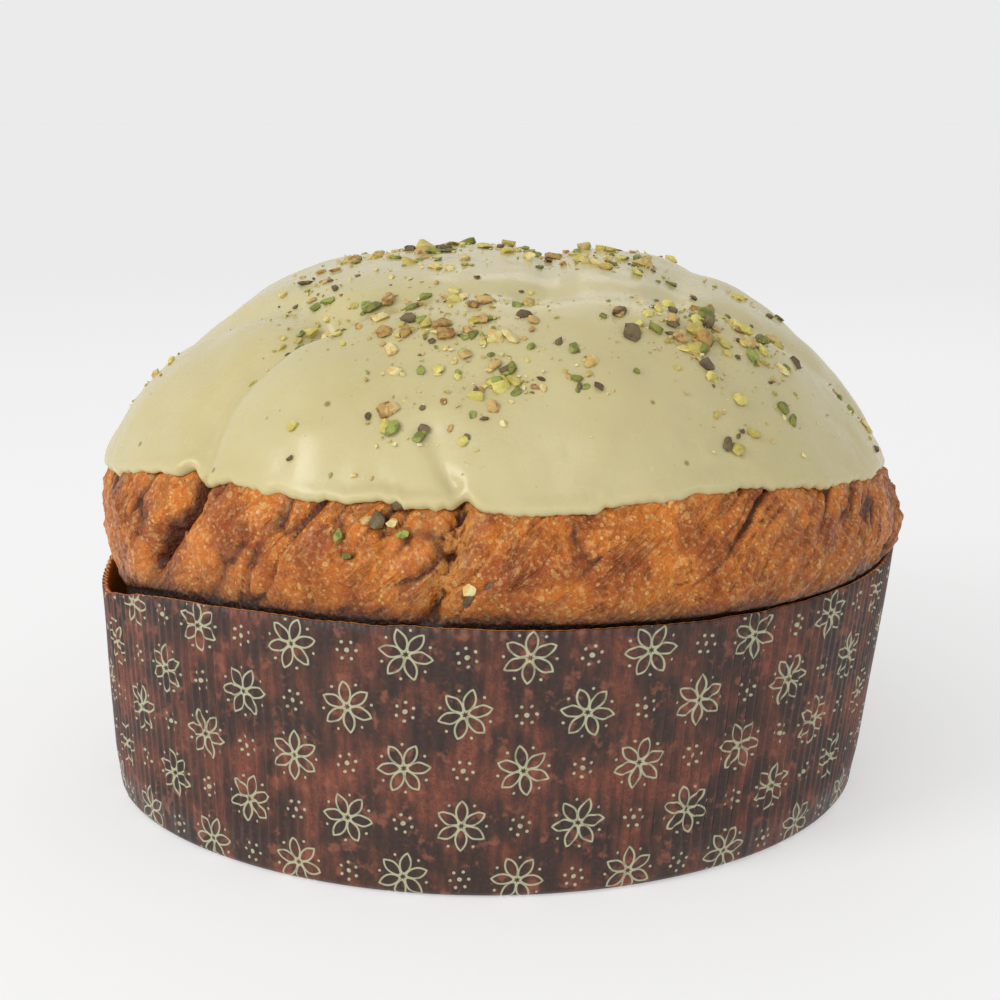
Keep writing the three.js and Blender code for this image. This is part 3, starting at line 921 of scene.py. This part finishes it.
# %% [markdown]
# Chopping also leaves crumbs and dust. They lie thickest among the chips, so each crumb
# starts from a chip and is thrown a little way off. They are real geometry too, a few
# faces each, because a bump or a painted speck would not catch the light.

# %% Crumbs
CRUMB_COUNT = 1500
CRUMB_SEED = 5
CRUMB_THROW = 5.5
CRUMB_REACH = 100
CRUMB_CLEARANCE = 3
CRUMB_RAISE = 0.2
crumb_random = np.random.default_rng(CRUMB_SEED)
start = crumb_random.integers(0, len(icing_nuts), CRUMB_COUNT)
throw = crumb_random.normal(0, CRUMB_THROW, (CRUMB_COUNT, 2))
crumb_x = nut_x[start] + throw[:, 0]
crumb_y = nut_y[start] + throw[:, 1]
keep = np.hypot(crumb_x, crumb_y) < CRUMB_REACH
crumb_x, crumb_y = crumb_x[keep], crumb_y[keep]
crumb_feet, crumb_normals, crumb_away = foot_on_icing(crumb_x, crumb_y)
crumb_hulls = []
for foot, normal, away in zip(crumb_feet, crumb_normals, crumb_away):
    size = 0.35 + 1.5 * crumb_random.random() ** 3
    points = crumb_random.uniform(-0.5, 0.5, (7, 3)) * size * np.array([1, 0.8, 0.7])
    if away > CRUMB_CLEARANCE:
        crumb_hulls.append((points + foot + normal * size * CRUMB_RAISE, crumb_random.random()))
crumbs = hull_piece("nut_crumbs", crumb_hulls)

# %% [markdown]
# Finishes. Each is built up as a painter would: a ground colour, then thinner colours
# over it wherever a mask is light. The same masks could be painted as images, but graphs
# stay sharp at any size. Helpers ease a value between two bounds, lay one colour over
# another and wire roughness and bump. Colours are given as they look on screen and turned
# into the linear values that shaders work with.

# %% Helpers for materials


def between(tree, value, low, high):
    """0 where value is at low, 1 where it is at high, eased at both ends."""
    inputs = {"Value": value, "From Min": low, "From Max": high}
    return node(tree, "ShaderNodeMapRange", inputs, interpolation_type="SMOOTHSTEP").outputs[0]


def mix_colors(tree, factor, first, second, blend_type="MIX"):
    inputs = {0: factor, 6: first, 7: second}
    return node(tree, "ShaderNodeMix", inputs, data_type="RGBA", blend_type=blend_type).outputs[2]


def tinted(tree, base, color, mask, most=1.0):
    """A base colour with another over it where the mask is 1, at most this strongly."""
    return mix_colors(tree, math_node(tree, "MULTIPLY", mask, most), base, color)


def linear(red, green, blue):
    """A screen colour, 0 to 255, as a shader colour."""
    parts = [channel / 255 for channel in (red, green, blue)]
    return (*[part / 12.92 if part <= 0.04045 else ((part + 0.055) / 1.055) ** 2.4 for part in parts], 1)


def roughened(tree, shader, mask, spread, least):
    tree.links.new(math_node(tree, "MULTIPLY_ADD", mask, spread, least), shader.inputs["Roughness"])


def bumped(tree, shader, height, distance, strength):
    bump = node(tree, "ShaderNodeBump", {"Height": height, "Distance": distance, "Strength": strength})
    tree.links.new(bump.outputs["Normal"], shader.inputs["Normal"])


def stored(tree, name):
    return node(tree, "ShaderNodeAttribute", attribute_name=name).outputs["Fac"]


def new_group(name, inputs, outputs):
    """An empty node group with named sockets: its tree, its input node and its output node."""
    group = bpy.data.node_groups.new(name, "ShaderNodeTree")
    for label, (kind, value) in inputs.items():
        socket = group.interface.new_socket(label, in_out="INPUT", socket_type="NodeSocket" + kind)
        if value is not None:
            socket.default_value = value
    for label, kind in outputs.items():
        group.interface.new_socket(label, in_out="OUTPUT", socket_type="NodeSocket" + kind)
    return group, group.nodes.new("NodeGroupInput"), group.nodes.new("NodeGroupOutput")


def place_group(tree, group, inputs):
    return node(tree, "ShaderNodeGroup", inputs, node_tree=group)


print("pistachio green, linear:", [round(part, 3) for part in linear(150, 160, 70)])

# %% [markdown]
# Two effects turn up in several finishes: a mottle, which is cloudy variation with finer
# clouds inside it, and specks, which are small round spots of uneven size such as
# bubbles, bran or blisters. Each is a node group with sizes in millimetres, so that a
# material says how large its own mottle or specks are.

# %% Shared effects
NOISE_ROUGHNESS = 0.6
SPECK_SHARPNESS = 12.0

mottle, mottle_in, mottle_out = new_group(
    "mottle",
    {
        "Vector": ("Vector", None), "Size": ("Float", 5.0), "Detail": ("Float", 4.0),
        "Contrast": ("Float", 1.0)},
    {"Value": "Float"},
)
frequency = math_node(mottle, "DIVIDE", 1000.0, mottle_in.outputs["Size"])
cloud = node(mottle, "ShaderNodeTexNoise", {
    "Vector": mottle_in.outputs["Vector"], "Scale": frequency, "Detail": mottle_in.outputs["Detail"],
    "Roughness": NOISE_ROUGHNESS})
centred = math_node(mottle, "SUBTRACT", cloud.outputs[0], 0.5)
spread_out = math_node(mottle, "MULTIPLY_ADD", centred, mottle_in.outputs["Contrast"], 0.5, clamp=True)
mottle.links.new(spread_out, mottle_out.inputs["Value"])

specks, specks_in, specks_out = new_group(
    "specks",
    {
        "Vector": ("Vector", None), "Spacing": ("Float", 3.0), "Radius": ("Float", 0.2),
        "Share": ("Float", 0.4)},
    {"Mask": "Float"},
)
speck_frequency = math_node(specks, "DIVIDE", 1000.0, specks_in.outputs["Spacing"])
cells = node(specks, "ShaderNodeTexVoronoi", {
    "Vector": specks_in.outputs["Vector"], "Scale": speck_frequency})
chance = node(specks, "ShaderNodeSeparateColor", {"Color": cells.outputs["Color"]})
present = math_node(specks, "LESS_THAN", chance.outputs[0], specks_in.outputs["Share"])
reach = math_node(specks, "MULTIPLY", specks_in.outputs["Radius"], chance.outputs[1])
inside_speck = math_node(specks, "SUBTRACT", reach, cells.outputs["Distance"])
soft_speck = math_node(specks, "MULTIPLY", inside_speck, SPECK_SHARPNESS, clamp=True)
specks.links.new(math_node(specks, "MULTIPLY", soft_speck, present), specks_out.inputs["Mask"])
print("groups:", mottle.name, "and", specks.name)


def place_of(tree):
    return node(tree, "ShaderNodeTexCoord").outputs["Object"]


def mottled(tree, size, detail, contrast, vector=None):
    inputs = {"Vector": vector or place_of(tree), "Size": size, "Detail": detail, "Contrast": contrast}
    return place_group(tree, mottle, inputs).outputs["Value"]


def specked(tree, spacing, radius, share):
    inputs = {"Vector": place_of(tree), "Spacing": spacing, "Radius": radius, "Share": share}
    return place_group(tree, specks, inputs).outputs["Mask"]


# %% [markdown]
# Icing sugar scatters light inside, so the coat has a little subsurface light. Its gloss
# is broken only by slow smears. Up close it holds pin-prick bubbles and a few brown
# specks of nut skin.

# %% Icing finish
ICING_COLOR = linear(205, 193, 141)
ICING_SHADE = linear(199, 182, 122)
ICING_PALE = linear(213, 203, 160)
SKIN_SPECK = linear(128, 92, 46)

icing_finish, tree, shader = new_material("set icing", {
    "Subsurface Weight": 0.25, "Subsurface Radius": (1.0, 0.8, 0.35), "Subsurface Scale": 0.003,
    "Specular IOR Level": 0.45})
tone = mottled(tree, size=38.0, detail=3.0, contrast=1.6)
fine_tone = mottled(tree, size=6.0, detail=1.0, contrast=1.2)
base = mix_colors(tree, tone, ICING_SHADE, ICING_PALE)
base = mix_colors(tree, 0.5, base, ICING_COLOR)
base = tinted(tree, base, ICING_PALE, between(tree, fine_tone, 0.3, 0.95), most=0.14)
base = tinted(tree, base, SKIN_SPECK, specked(tree, spacing=7.0, radius=0.16, share=0.35), most=0.75)
tree.links.new(base, shader.inputs["Base Color"])
smear = mottled(tree, size=14.0, detail=3.0, contrast=1.4)
roughened(tree, shader, smear, spread=0.16, least=0.18)
bubbles = specked(tree, spacing=2.6, radius=0.24, share=0.3)
skin = mottled(tree, size=3.2, detail=3.0, contrast=1.0)
bumped(tree, shader, math_node(tree, "MULTIPLY_ADD", bubbles, 0.5, skin), distance=0.00012, strength=0.8)
icing.data.materials.append(icing_finish)
print("icing colour, linear:", [round(part, 3) for part in ICING_COLOR[:3]])

# %% [markdown]
# Crust colour comes from how much heat each spot took, with painted shade laid over it.
# Round blisters and flakes are pale where the skin lifted, and the flats are orange brown.
# Folds and fine wrinkles are darkened with painted shade. The foot beside the paper is
# nearly burnt, and painted shade darkens it further where it meets the paper rim. The
# tear at the front split shows lighter crumb. Fine wrinkles read the stored places of the
# folds, so they run the same way. Butter leaves a thin gloss, which is a coat over a rougher base.

# %% Crust finish
CRUST_BROWN = linear(220, 124, 32)
CRUST_DEEP = linear(162, 76, 12)
CRUST_FOLD_SHADE = linear(76, 26, 6)
CRUST_PALE = linear(250, 196, 120)
CRUST_BURNT_AND_SHADED = linear(34, 13, 6)
CRUMB = linear(238, 170, 92)

crust_finish, tree, shader = new_material("browned crust", {
    "Specular IOR Level": 0.3, "Coat Weight": 0.2, "Coat Roughness": 0.18})
fold = stored(tree, "fold")
along_folds = node(tree, "ShaderNodeCombineXYZ", {
    axis: stored(tree, "fold_" + axis.lower()) for axis in "XYZ"}).outputs[0]
patch = mottled(tree, size=15.0, detail=5.0, contrast=2.2)
flakes = mottled(tree, size=1.2, detail=4.0, contrast=2.4)
grain = mottled(tree, size=0.9, detail=4.0, contrast=2.0)
base = mix_colors(tree, between(tree, patch, 0.2, 0.75), CRUST_DEEP, CRUST_BROWN)

blisters = specked(tree, spacing=2.9, radius=0.4, share=0.75)
small_blisters = specked(tree, spacing=1.5, radius=0.42, share=0.9)
pale = math_node(tree, "MULTIPLY", between(tree, flakes, 0.4, 0.95), 0.55)
for lifted, paleness in [(small_blisters, 0.8), (blisters, 0.65)]:
    pale = math_node(tree, "MAXIMUM", pale, math_node(tree, "MULTIPLY", lifted, paleness))
patch_share = math_node(tree, "MULTIPLY_ADD", patch, 0.8, 0.4)
base = mix_colors(tree, math_node(tree, "MULTIPLY", pale, patch_share, clamp=True), base, CRUST_PALE)

wrinkle = mottled(tree, size=7.0, detail=4.0, contrast=1.6, vector=along_folds)
wrinkled = between(tree, mottled(tree, size=12.0, detail=3.0, contrast=2.2), 0.3, 0.7)
from_wrinkle = math_node(tree, "ABSOLUTE", math_node(tree, "SUBTRACT", wrinkle, 0.5))
crease = math_node(tree, "MULTIPLY", between(tree, from_wrinkle, 0.1, 0.0), wrinkled)
# Painted shade: the folds, the cracks and the fine wrinkles are darkened as if shade lay in them.
painted_fold_shade = math_node(tree, "MULTIPLY", between(tree, fold, 0.6, 1.9), 0.9)
painted_fold_shade = math_node(tree, "MAXIMUM", math_node(tree, "MULTIPLY", crease, 0.42), painted_fold_shade)
base = mix_colors(tree, painted_fold_shade, base, CRUST_FOLD_SHADE)

ragged = between(tree, mottled(tree, size=2.0, detail=5.0, contrast=2.6), 0.2, 0.6)
torn = math_node(tree, "MULTIPLY", stored(tree, "tear"), ragged)
torn = math_node(tree, "MULTIPLY", torn, between(tree, fold, 2.3, 1.2))
base = tinted(tree, base, CRUMB, torn, most=0.85)
# Burnt colour and painted shade at the foot: the crust beside the paper rim darkens to near black.
uneven = math_node(tree, "MULTIPLY_ADD", grain, 0.9, 0.7)
scorch_and_shade = math_node(tree, "MULTIPLY", stored(tree, "scorch_and_shade"), uneven, clamp=True)
base = mix_colors(tree, scorch_and_shade, base, CRUST_BURNT_AND_SHADED)
tree.links.new(base, shader.inputs["Base Color"])
roughened(tree, shader, grain, spread=0.25, least=0.3)

raised = math_node(tree, "MULTIPLY", blisters, 0.3)
for part, lift_share in [(small_blisters, 0.2), (flakes, 0.5), (crease, -0.55), (grain, 0.4)]:
    raised = math_node(tree, "MULTIPLY_ADD", part, lift_share, raised)
bumped(tree, shader, raised, distance=0.0008, strength=1.0)
bread.data.materials.append(crust_finish)
print("crust graph of", len(tree.nodes), "nodes")

# %% [markdown]
# Nut finishes share one graph: a flesh colour and a skin colour, mixed by a coarse
# mottle, and darkened by each chip's own tone. One function builds it, and the kinds
# differ in their two colours alone.

# %% Nut finishes
NUT_COLORS = {
    "nut_chips_green": (linear(158, 166, 76), linear(116, 124, 52)),
    "nut_chips_yellow": (linear(232, 218, 126), linear(208, 194, 100)),
    "nut_chips_purple": (linear(118, 102, 64), linear(92, 72, 54)),
    "nut_chips_brown": (linear(212, 178, 108), linear(158, 112, 62)),
    "nut_chips_cream": (linear(238, 224, 160), linear(224, 188, 110)),
    "nut_crumbs": (linear(238, 226, 168), linear(210, 196, 114)),
}
DARKER_CHIP = (0.74, 0.68, 0.56, 1)


def nut_finish(name, flesh, skin_color):
    material, tree, shader = new_material(name.replace("_", " "))
    skinned = between(tree, mottled(tree, size=2.4, detail=3.0, contrast=2.2), 0.35, 0.75)
    base = mix_colors(tree, skinned, flesh, skin_color)
    dark = mix_colors(tree, 1.0, base, DARKER_CHIP, "MULTIPLY")
    base = mix_colors(tree, between(tree, stored(tree, "tone"), 0.75, 0.1), base, dark)
    tree.links.new(base, shader.inputs["Base Color"])
    grain = mottled(tree, size=0.7, detail=4.0, contrast=1.6)
    roughened(tree, shader, grain, spread=0.2, least=0.45)
    bumped(tree, shader, grain, distance=0.0003, strength=0.8)
    return material


for name, (flesh, skin_color) in NUT_COLORS.items():
    piece = crumbs if name == "nut_crumbs" else nut_pieces[name]
    piece.data.materials.append(nut_finish(name, flesh, skin_color))
print(len(NUT_COLORS), "nut finishes")

# %% [markdown]
# The mould's outside is printed with pale line flowers. An image would be the usual way,
# but lines drawn by distance formulas stay sharp at any size. The UV map is in
# centimetres, so a cell of the print is a real size. Cells alternate like a chess board
# between a six-petalled rosette and a small ring of dots.

# %% Print of line flowers
CELLS_AROUND = 48
FIRST_ROW = 0.15
TURN_A_ROW = 1.7
TURN_A_COLUMN = 2.3
PETALS = 6
PETAL_MIDDLE = 3.5
PETAL_HALF_LENGTH = 2.8
PETAL_HALF_WIDTH = 1.35
HEART_RADIUS = 0.95
LINE_HALF = 0.22
TIP_RADIUS = 6.0
TIP_DOT = 0.45
RING_RADIUS = 2.3
RING_DOT = 0.5
MIDDLE_DOT = 0.7
DOT_BLUR = 0.2

print_group, print_in, print_out = new_group(
    "line flowers", {"Vector": ("Vector", None)}, {"Line": "Float"})


def figure(operation, *values):
    """One step of arithmetic in the print's group."""
    return math_node(print_group, operation, *values)


def distance(x, y):
    return figure("SQRT", figure("MULTIPLY_ADD", x, x, figure("MULTIPLY", y, y)))


def from_middle(value):
    """Millimetres from the middle of a cell."""
    return figure("MULTIPLY_ADD", figure("FRACT", value), cell_size, -cell_size / 2)


def ring_line(value, at):
    """1 on the line where value is at, 0 beside it."""
    away = figure("ABSOLUTE", figure("SUBTRACT", value, at))
    return between(print_group, away, LINE_HALF * 1.5, LINE_HALF * 0.5)


def dot(away, reach):
    return between(print_group, away, reach, reach - DOT_BLUR)


cell_size = UV_TURN * CENTIMETRE / CELLS_AROUND
split = node(print_group, "ShaderNodeSeparateXYZ", {"Vector": print_in.outputs["Vector"]})
across = figure("MULTIPLY", split.outputs[0], CENTIMETRE / cell_size)
upward = figure("MULTIPLY_ADD", split.outputs[1], CENTIMETRE / cell_size, FIRST_ROW)
column_index = figure("FLOOR", across)
row_index = figure("FLOOR", upward)
odd = figure("PINGPONG", figure("ADD", column_index, row_index), 1.0)
local_x, local_y = from_middle(across), from_middle(upward)
radius = distance(local_x, local_y)
cell_turn = figure("MULTIPLY_ADD", row_index, TURN_A_ROW, figure("MULTIPLY", column_index, TURN_A_COLUMN))
angle = figure("ADD", figure("ARCTAN2", local_y, local_x), cell_turn)
sector = 2 * math.pi / PETALS
from_petal = figure("PINGPONG", angle, sector / 2)
along = figure("MULTIPLY", radius, figure("COSINE", from_petal))
beside = figure("MULTIPLY", radius, figure("SINE", from_petal))
print("print cells of", round(cell_size, 2), "mm,", CELLS_AROUND, "round the mould")

# %% [markdown]
# Each petal is two arcs that meet in points, as a pair of compasses draws them, and the
# petals stand round a small ring with a dot in every gap. The other cells carry a ring
# of six dots and one in the middle. The two designs share the same sector, so both come
# from the same few distances.

# %% Petals and dots
arc_radius = (PETAL_HALF_LENGTH**2 + PETAL_HALF_WIDTH**2) / (2 * PETAL_HALF_WIDTH)
from_arc = figure("ADD", figure("ABSOLUTE", beside), arc_radius - PETAL_HALF_WIDTH)
petal = ring_line(distance(figure("SUBTRACT", along, PETAL_MIDDLE), from_arc), arc_radius)
heart = ring_line(radius, HEART_RADIUS)
from_gap = figure("SUBTRACT", sector / 2, from_petal)
tip_x = figure("SUBTRACT", figure("MULTIPLY", radius, figure("COSINE", from_gap)), TIP_RADIUS)
tip_y = figure("MULTIPLY", radius, figure("SINE", from_gap))
rosette = figure("MAXIMUM", figure("MAXIMUM", petal, heart), dot(distance(tip_x, tip_y), TIP_DOT))
ring_dot = dot(distance(figure("SUBTRACT", along, RING_RADIUS), beside), RING_DOT)
dots = figure("MAXIMUM", ring_dot, dot(radius, MIDDLE_DOT))
flower = figure("MULTIPLY", rosette, figure("SUBTRACT", 1.0, odd))
print_group.links.new(figure("ADD", flower, figure("MULTIPLY", dots, odd)), print_out.inputs["Line"])
print("rosettes", round(2 * TIP_RADIUS, 1), "mm across with", PETALS, "petals")

# %% [markdown]
# The ink under the flowers is chocolate brown. It is rubbed through to red brown in
# clouds, most of all in a band a third of the way up, scuffed paler in patches and
# darkened by a fine grain. Upright streaks of painted shade stand in for the flutes'
# shading. A second, plainer material is the bare brown paper of the inside and of the cut rim.

# %% Printed paper finish
INK_DARK = linear(50, 28, 19)
INK_RED = linear(136, 70, 46)
INK_BROWN = linear(84, 48, 35)
INK_LINE = linear(182, 182, 148)
INK_GRAIN_AND_FLUTE_SHADE = linear(36, 20, 15)
INK_SCUFF = linear(160, 92, 66)
BAND_HEIGHT = 0.031
BAND_HALF = 0.012
KRAFT = linear(244, 158, 82)
KRAFT_DARK = linear(214, 126, 62)

printed, tree, shader = new_material("printed paper", {"Specular IOR Level": 0.5})
stretched = []
for upright in [0.5, 0.05]:
    inputs = {"Vector": place_of(tree), "Scale": (1.0, 1.0, upright)}
    stretched.append(node(tree, "ShaderNodeMapping", inputs).outputs[0])
cloud_place, flute_place = stretched
rubbed = mottled(tree, size=8.0, detail=10.0, contrast=2.2, vector=cloud_place)
worn = mottled(tree, size=1.0, detail=8.0, contrast=2.6)
# Upright streaks of painted shade, standing in for the shading of the flutes.
flute_shade_streaks = mottled(tree, size=1.5, detail=3.0, contrast=2.4, vector=flute_place)
height = node(tree, "ShaderNodeSeparateXYZ", {"Vector": place_of(tree)}).outputs[2]
from_band = math_node(tree, "ABSOLUTE", math_node(tree, "SUBTRACT", height, BAND_HEIGHT))
band = math_node(tree, "MULTIPLY", between(tree, from_band, BAND_HALF, 0.0), 0.16)
red = math_node(tree, "ADD", rubbed, band)
ink = mix_colors(tree, between(tree, red, 0.35, 0.95), INK_DARK, INK_RED)
ink = tinted(tree, ink, INK_BROWN, between(tree, worn, 0.35, 0.85), most=0.6)
# Painted shade of the flutes in upright streaks, then a fine dark grain of the paper.
ink = tinted(tree, ink, INK_GRAIN_AND_FLUTE_SHADE, between(tree, flute_shade_streaks, 0.35, 0.85), most=0.32)
ink = tinted(tree, ink, INK_GRAIN_AND_FLUTE_SHADE, mottled(tree, size=0.5, detail=3.0, contrast=3.5), most=0.4)
scuffs = mottled(tree, size=4.0, detail=9.0, contrast=3.0)
ink = tinted(tree, ink, INK_SCUFF, between(tree, scuffs, 0.6, 1.0), most=0.5)
uv = node(tree, "ShaderNodeUVMap", uv_map="print").outputs[0]
line = place_group(tree, print_group, {"Vector": uv}).outputs["Line"]
line_wear = between(tree, mottled(tree, size=2.6, detail=4.0, contrast=2.0), 0.1, 0.5)
line_strength = math_node(tree, "MULTIPLY_ADD", line_wear, 0.4, 0.55)
ink = mix_colors(tree, math_node(tree, "MULTIPLY", line, line_strength), ink, INK_LINE)
tree.links.new(ink, shader.inputs["Base Color"])
roughened(tree, shader, rubbed, spread=0.15, least=0.32)
bumped(tree, shader, mottled(tree, size=0.8, detail=4.0, contrast=1.5), distance=0.0001, strength=0.6)

kraft, tree, shader = new_material("kraft paper")
shade = mottled(tree, size=9.0, detail=5.0, contrast=2.0)
tree.links.new(mix_colors(tree, shade, KRAFT_DARK, KRAFT), shader.inputs["Base Color"])
roughened(tree, shader, shade, spread=0.15, least=0.6)
bumped(tree, shader, mottled(tree, size=0.8, detail=4.0, contrast=1.5), distance=0.0001, strength=0.6)
paper_case.data.materials.append(kraft)
paper_case.data.materials.append(printed)
print("materials:", sorted(material.name for material in bpy.data.materials))

# %% [markdown]
# Last, each piece is tied to the frame: the body it rides on, and the solid it stands
# for, which is hidden. The table also names the finish of the record for each piece, but
# nothing here uses it. The loaf has no joints, so everything rides on the one root body.

# %% Ties to the frame
DRESSING = {
    paper_case: ("mould_paper", "paper_case"),
    bread: ("crust", "bread"),
    icing: ("icing", "icing"),
    crumbs: ("nuts", None),
    **{piece: ("nuts", None) for piece in nut_pieces.values()},
}
for piece, (slot, solid) in DRESSING.items():
    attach(piece, "root")
    if solid:
        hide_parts(solid)
